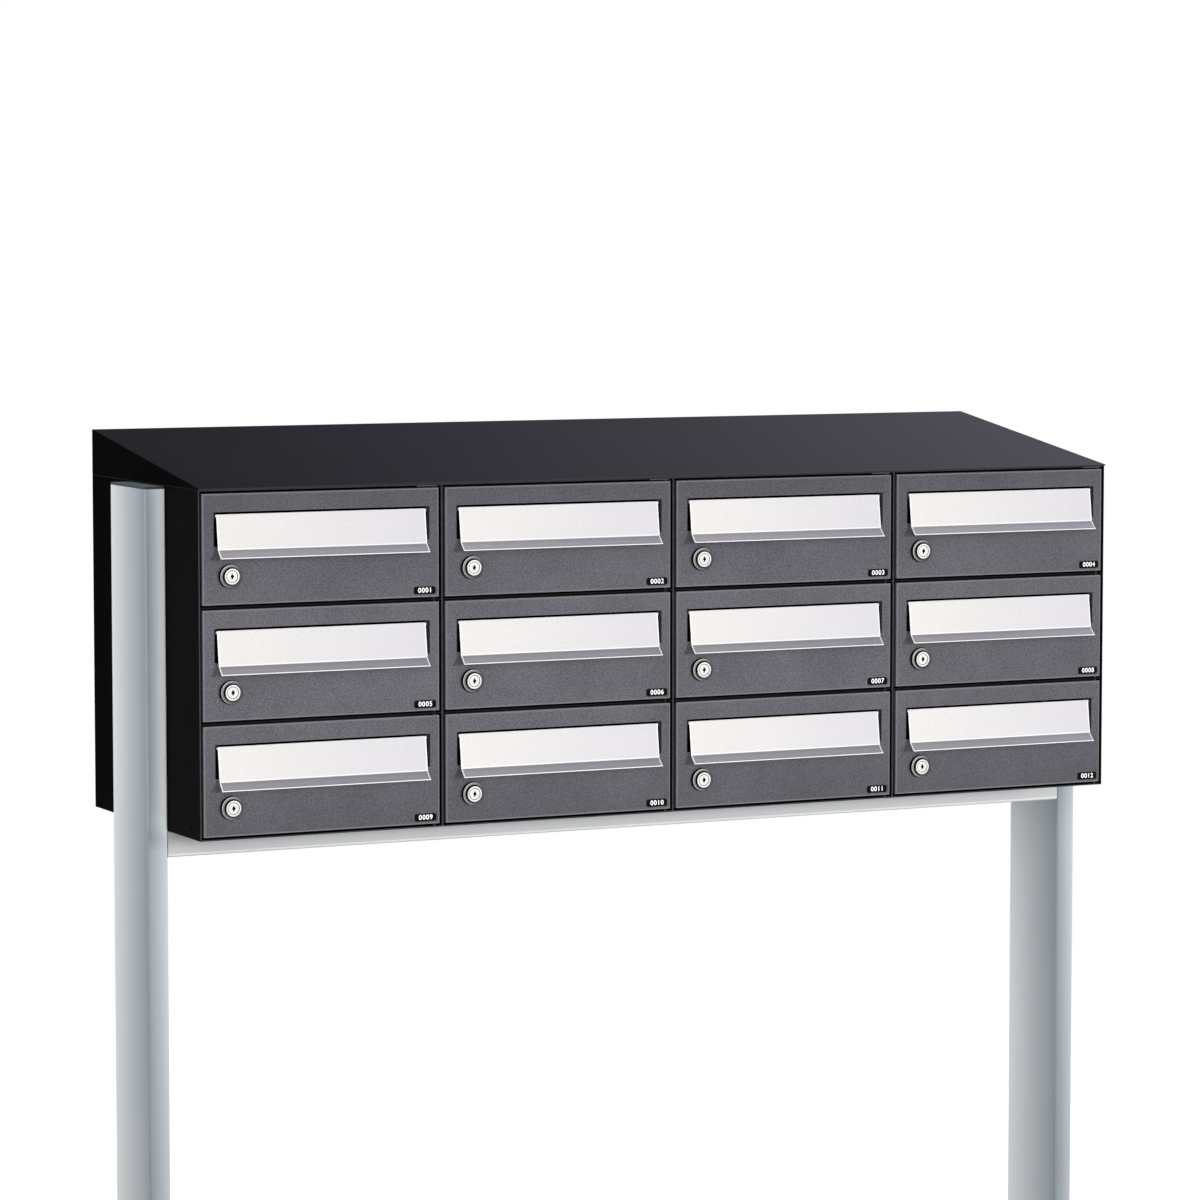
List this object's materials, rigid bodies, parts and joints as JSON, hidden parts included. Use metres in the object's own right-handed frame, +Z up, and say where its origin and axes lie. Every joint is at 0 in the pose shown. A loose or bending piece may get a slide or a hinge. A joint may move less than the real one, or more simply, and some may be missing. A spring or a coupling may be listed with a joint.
{
  "type": "cluster mailbox unit",
  "caption": "Bank of front-opening letterboxes under a sloping rain roof, with locking side-hinged doors and spring-free slot flaps, carried between two flat posts.",
  "frame": {"origin": "on the ground, midway between the posts and midway between the cabinet's back and its foremost flap edge", "axes": "+X to the right along the row of doors as seen from the front, +Y to the back, +Z up; the doors face -Y"},
  "size_m": [1.458, 0.4006, 1.298],
  "materials": {
    "cabinet_black": "satin black powder coat",
    "door_anthracite": "fine-textured anthracite powder coat",
    "flap_stainless": "fine brushed along the length",
    "lock_nickel": "nickel plated",
    "post_aluminium": "satin anodised",
    "cap_dark_grey": "moulded",
    "zinc_steel": "zinc plated"
  },
  "bodies": {
    "cabinet": {"back_panel": "cabinet_black", "cabinet_fasteners": "zinc_steel", "hinge_pins": "zinc_steel", "left_side_panel": "cabinet_black", "partitions": "cabinet_black", "post_caps": "cap_dark_grey", "posts": "post_aluminium", "rail": "post_aluminium", "right_side_panel": "cabinet_black", "roof": "cabinet_black", "shelves": "cabinet_black", "top_and_bottom_panels": "cabinet_black"},
    "door_01": {"door_01": "door_anthracite", "lock_body_01": "lock_nickel"},
    "flap_01": {"flap_01": "flap_stainless"},
    "lock_cam_01": {"lock_cam_01": "lock_nickel"},
    "door_02": {"door_02": "door_anthracite", "lock_body_02": "lock_nickel"},
    "flap_02": {"flap_02": "flap_stainless"},
    "lock_cam_02": {"lock_cam_02": "lock_nickel"},
    "door_03": {"door_03": "door_anthracite", "lock_body_03": "lock_nickel"},
    "flap_03": {"flap_03": "flap_stainless"},
    "lock_cam_03": {"lock_cam_03": "lock_nickel"},
    "door_04": {"door_04": "door_anthracite", "lock_body_04": "lock_nickel"},
    "flap_04": {"flap_04": "flap_stainless"},
    "lock_cam_04": {"lock_cam_04": "lock_nickel"},
    "door_05": {"door_05": "door_anthracite", "lock_body_05": "lock_nickel"},
    "flap_05": {"flap_05": "flap_stainless"},
    "lock_cam_05": {"lock_cam_05": "lock_nickel"},
    "door_06": {"door_06": "door_anthracite", "lock_body_06": "lock_nickel"},
    "flap_06": {"flap_06": "flap_stainless"},
    "lock_cam_06": {"lock_cam_06": "lock_nickel"},
    "door_07": {"door_07": "door_anthracite", "lock_body_07": "lock_nickel"},
    "flap_07": {"flap_07": "flap_stainless"},
    "lock_cam_07": {"lock_cam_07": "lock_nickel"},
    "door_08": {"door_08": "door_anthracite", "lock_body_08": "lock_nickel"},
    "flap_08": {"flap_08": "flap_stainless"},
    "lock_cam_08": {"lock_cam_08": "lock_nickel"},
    "door_09": {"door_09": "door_anthracite", "lock_body_09": "lock_nickel"},
    "flap_09": {"flap_09": "flap_stainless"},
    "lock_cam_09": {"lock_cam_09": "lock_nickel"},
    "door_10": {"door_10": "door_anthracite", "lock_body_10": "lock_nickel"},
    "flap_10": {"flap_10": "flap_stainless"},
    "lock_cam_10": {"lock_cam_10": "lock_nickel"},
    "door_11": {"door_11": "door_anthracite", "lock_body_11": "lock_nickel"},
    "flap_11": {"flap_11": "flap_stainless"},
    "lock_cam_11": {"lock_cam_11": "lock_nickel"},
    "door_12": {"door_12": "door_anthracite", "lock_body_12": "lock_nickel"},
    "flap_12": {"flap_12": "flap_stainless"},
    "lock_cam_12": {"lock_cam_12": "lock_nickel"}
  },
  "joints": [
    {"name": "door_01_hinge", "type": "hinge", "parent": "cabinet", "child": "door_01", "pos_m": [-0.34025, -0.1797, 1.164], "axis": [0, 0, 1], "range_deg": [0, 95]},
    {"name": "flap_01_hinge", "type": "hinge", "parent": "door_01", "child": "flap_01", "pos_m": [-0.495, -0.1827, 1.2055], "axis": [-1, 0, 0], "range_deg": [0, 80]},
    {"name": "lock_01_turn", "type": "hinge", "parent": "door_01", "child": "lock_cam_01", "pos_m": [-0.619, -0.1847, 1.1305], "axis": [0, 1, 0], "range_deg": [0, 90]},
    {"name": "door_02_hinge", "type": "hinge", "parent": "cabinet", "child": "door_02", "pos_m": [-0.01025, -0.1797, 1.164], "axis": [0, 0, 1], "range_deg": [0, 95]},
    {"name": "flap_02_hinge", "type": "hinge", "parent": "door_02", "child": "flap_02", "pos_m": [-0.165, -0.1827, 1.2055], "axis": [-1, 0, 0], "range_deg": [0, 80]},
    {"name": "lock_02_turn", "type": "hinge", "parent": "door_02", "child": "lock_cam_02", "pos_m": [-0.289, -0.1847, 1.1305], "axis": [0, 1, 0], "range_deg": [0, 90]},
    {"name": "door_03_hinge", "type": "hinge", "parent": "cabinet", "child": "door_03", "pos_m": [0.31975, -0.1797, 1.164], "axis": [0, 0, 1], "range_deg": [0, 95]},
    {"name": "flap_03_hinge", "type": "hinge", "parent": "door_03", "child": "flap_03", "pos_m": [0.165, -0.1827, 1.2055], "axis": [-1, 0, 0], "range_deg": [0, 80]},
    {"name": "lock_03_turn", "type": "hinge", "parent": "door_03", "child": "lock_cam_03", "pos_m": [0.041, -0.1847, 1.1305], "axis": [0, 1, 0], "range_deg": [0, 90]},
    {"name": "door_04_hinge", "type": "hinge", "parent": "cabinet", "child": "door_04", "pos_m": [0.64975, -0.1797, 1.164], "axis": [0, 0, 1], "range_deg": [0, 95]},
    {"name": "flap_04_hinge", "type": "hinge", "parent": "door_04", "child": "flap_04", "pos_m": [0.495, -0.1827, 1.2055], "axis": [-1, 0, 0], "range_deg": [0, 80]},
    {"name": "lock_04_turn", "type": "hinge", "parent": "door_04", "child": "lock_cam_04", "pos_m": [0.371, -0.1847, 1.1305], "axis": [0, 1, 0], "range_deg": [0, 90]},
    {"name": "door_05_hinge", "type": "hinge", "parent": "cabinet", "child": "door_05", "pos_m": [-0.34025, -0.1797, 1.019], "axis": [0, 0, 1], "range_deg": [0, 95]},
    {"name": "flap_05_hinge", "type": "hinge", "parent": "door_05", "child": "flap_05", "pos_m": [-0.495, -0.1827, 1.0605], "axis": [-1, 0, 0], "range_deg": [0, 80]},
    {"name": "lock_05_turn", "type": "hinge", "parent": "door_05", "child": "lock_cam_05", "pos_m": [-0.619, -0.1847, 0.9855], "axis": [0, 1, 0], "range_deg": [0, 90]},
    {"name": "door_06_hinge", "type": "hinge", "parent": "cabinet", "child": "door_06", "pos_m": [-0.01025, -0.1797, 1.019], "axis": [0, 0, 1], "range_deg": [0, 95]},
    {"name": "flap_06_hinge", "type": "hinge", "parent": "door_06", "child": "flap_06", "pos_m": [-0.165, -0.1827, 1.0605], "axis": [-1, 0, 0], "range_deg": [0, 80]},
    {"name": "lock_06_turn", "type": "hinge", "parent": "door_06", "child": "lock_cam_06", "pos_m": [-0.289, -0.1847, 0.9855], "axis": [0, 1, 0], "range_deg": [0, 90]},
    {"name": "door_07_hinge", "type": "hinge", "parent": "cabinet", "child": "door_07", "pos_m": [0.31975, -0.1797, 1.019], "axis": [0, 0, 1], "range_deg": [0, 95]},
    {"name": "flap_07_hinge", "type": "hinge", "parent": "door_07", "child": "flap_07", "pos_m": [0.165, -0.1827, 1.0605], "axis": [-1, 0, 0], "range_deg": [0, 80]},
    {"name": "lock_07_turn", "type": "hinge", "parent": "door_07", "child": "lock_cam_07", "pos_m": [0.041, -0.1847, 0.9855], "axis": [0, 1, 0], "range_deg": [0, 90]},
    {"name": "door_08_hinge", "type": "hinge", "parent": "cabinet", "child": "door_08", "pos_m": [0.64975, -0.1797, 1.019], "axis": [0, 0, 1], "range_deg": [0, 95]},
    {"name": "flap_08_hinge", "type": "hinge", "parent": "door_08", "child": "flap_08", "pos_m": [0.495, -0.1827, 1.0605], "axis": [-1, 0, 0], "range_deg": [0, 80]},
    {"name": "lock_08_turn", "type": "hinge", "parent": "door_08", "child": "lock_cam_08", "pos_m": [0.371, -0.1847, 0.9855], "axis": [0, 1, 0], "range_deg": [0, 90]},
    {"name": "door_09_hinge", "type": "hinge", "parent": "cabinet", "child": "door_09", "pos_m": [-0.34025, -0.1797, 0.874], "axis": [0, 0, 1], "range_deg": [0, 95]},
    {"name": "flap_09_hinge", "type": "hinge", "parent": "door_09", "child": "flap_09", "pos_m": [-0.495, -0.1827, 0.9155], "axis": [-1, 0, 0], "range_deg": [0, 80]},
    {"name": "lock_09_turn", "type": "hinge", "parent": "door_09", "child": "lock_cam_09", "pos_m": [-0.619, -0.1847, 0.8405], "axis": [0, 1, 0], "range_deg": [0, 90]},
    {"name": "door_10_hinge", "type": "hinge", "parent": "cabinet", "child": "door_10", "pos_m": [-0.01025, -0.1797, 0.874], "axis": [0, 0, 1], "range_deg": [0, 95]},
    {"name": "flap_10_hinge", "type": "hinge", "parent": "door_10", "child": "flap_10", "pos_m": [-0.165, -0.1827, 0.9155], "axis": [-1, 0, 0], "range_deg": [0, 80]},
    {"name": "lock_10_turn", "type": "hinge", "parent": "door_10", "child": "lock_cam_10", "pos_m": [-0.289, -0.1847, 0.8405], "axis": [0, 1, 0], "range_deg": [0, 90]},
    {"name": "door_11_hinge", "type": "hinge", "parent": "cabinet", "child": "door_11", "pos_m": [0.31975, -0.1797, 0.874], "axis": [0, 0, 1], "range_deg": [0, 95]},
    {"name": "flap_11_hinge", "type": "hinge", "parent": "door_11", "child": "flap_11", "pos_m": [0.165, -0.1827, 0.9155], "axis": [-1, 0, 0], "range_deg": [0, 80]},
    {"name": "lock_11_turn", "type": "hinge", "parent": "door_11", "child": "lock_cam_11", "pos_m": [0.041, -0.1847, 0.8405], "axis": [0, 1, 0], "range_deg": [0, 90]},
    {"name": "door_12_hinge", "type": "hinge", "parent": "cabinet", "child": "door_12", "pos_m": [0.64975, -0.1797, 0.874], "axis": [0, 0, 1], "range_deg": [0, 95]},
    {"name": "flap_12_hinge", "type": "hinge", "parent": "door_12", "child": "flap_12", "pos_m": [0.495, -0.1827, 0.9155], "axis": [-1, 0, 0], "range_deg": [0, 80]},
    {"name": "lock_12_turn", "type": "hinge", "parent": "door_12", "child": "lock_cam_12", "pos_m": [0.371, -0.1847, 0.8405], "axis": [0, 1, 0], "range_deg": [0, 90]}
  ]
}
